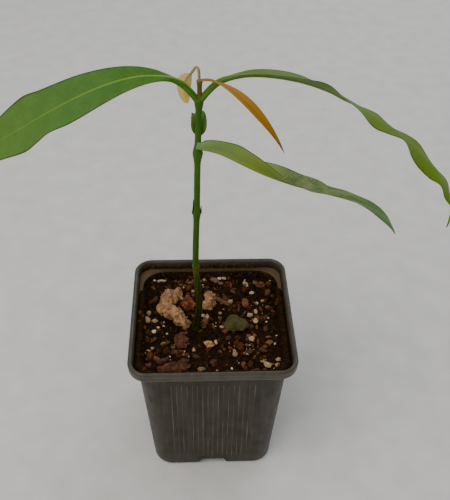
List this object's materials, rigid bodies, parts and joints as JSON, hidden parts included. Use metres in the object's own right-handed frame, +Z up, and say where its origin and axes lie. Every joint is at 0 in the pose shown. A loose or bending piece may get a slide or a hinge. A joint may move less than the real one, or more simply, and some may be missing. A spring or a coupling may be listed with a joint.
{
  "type": "potted fruit tree seedling",
  "caption": "Young tropical fruit tree with a thin stem and long drooping leaves, growing in a square tapered nursery pot filled with potting mix.",
  "frame": {"origin": "middle of the pot's foot, on the surface it stands on", "axes": "+Z up the stem; -Y towards the viewer of the picture; +X to the right, along the longest leaf"},
  "size_m": [0.2113, 0.08, 0.2184],
  "materials": {
    "pot_plastic": "satin injection-moulded plastic, dusty",
    "potting_mix": "damp fibrous potting mix",
    "green_stem": "smooth green bark",
    "brown_shoot": "smooth young shoot",
    "leaf_green": "leathery, half gloss",
    "leaf_pale_green": "leathery, dull underside",
    "leaf_bronze": "thin young leaf",
    "leaf_straw": "thin pale leaf",
    "seed_husk": "dry rough husk",
    "bark": "rough bark chip",
    "mossy_stone": "rough stone with moss",
    "perlite": "rough pale grain"
  },
  "bodies": {
    "root": {"pot": "pot_plastic", "soil": "potting_mix", "stem": "green_stem", "new_shoot": "brown_shoot", "leaf_upper_left": "leaf_green", "leaf_upper_right": "leaf_green", "leaf_lower_right": "leaf_pale_green", "leaf_lower_back": "leaf_pale_green", "leaf_young_right": "leaf_bronze", "leaf_young_back": "leaf_straw", "bud_scale_left": "brown_shoot", "bud_scale_right": "brown_shoot", "husk_left": "seed_husk", "husk_right": "seed_husk", "husk_core": "bark", "husk_crumb": "seed_husk", "mossy_pebble": "mossy_stone", "pale_chunk": "perlite", "bark_left": "bark", "bark_front": "bark", "bark_right": "seed_husk", "bark_back": "bark"}
  },
  "joints": []
}
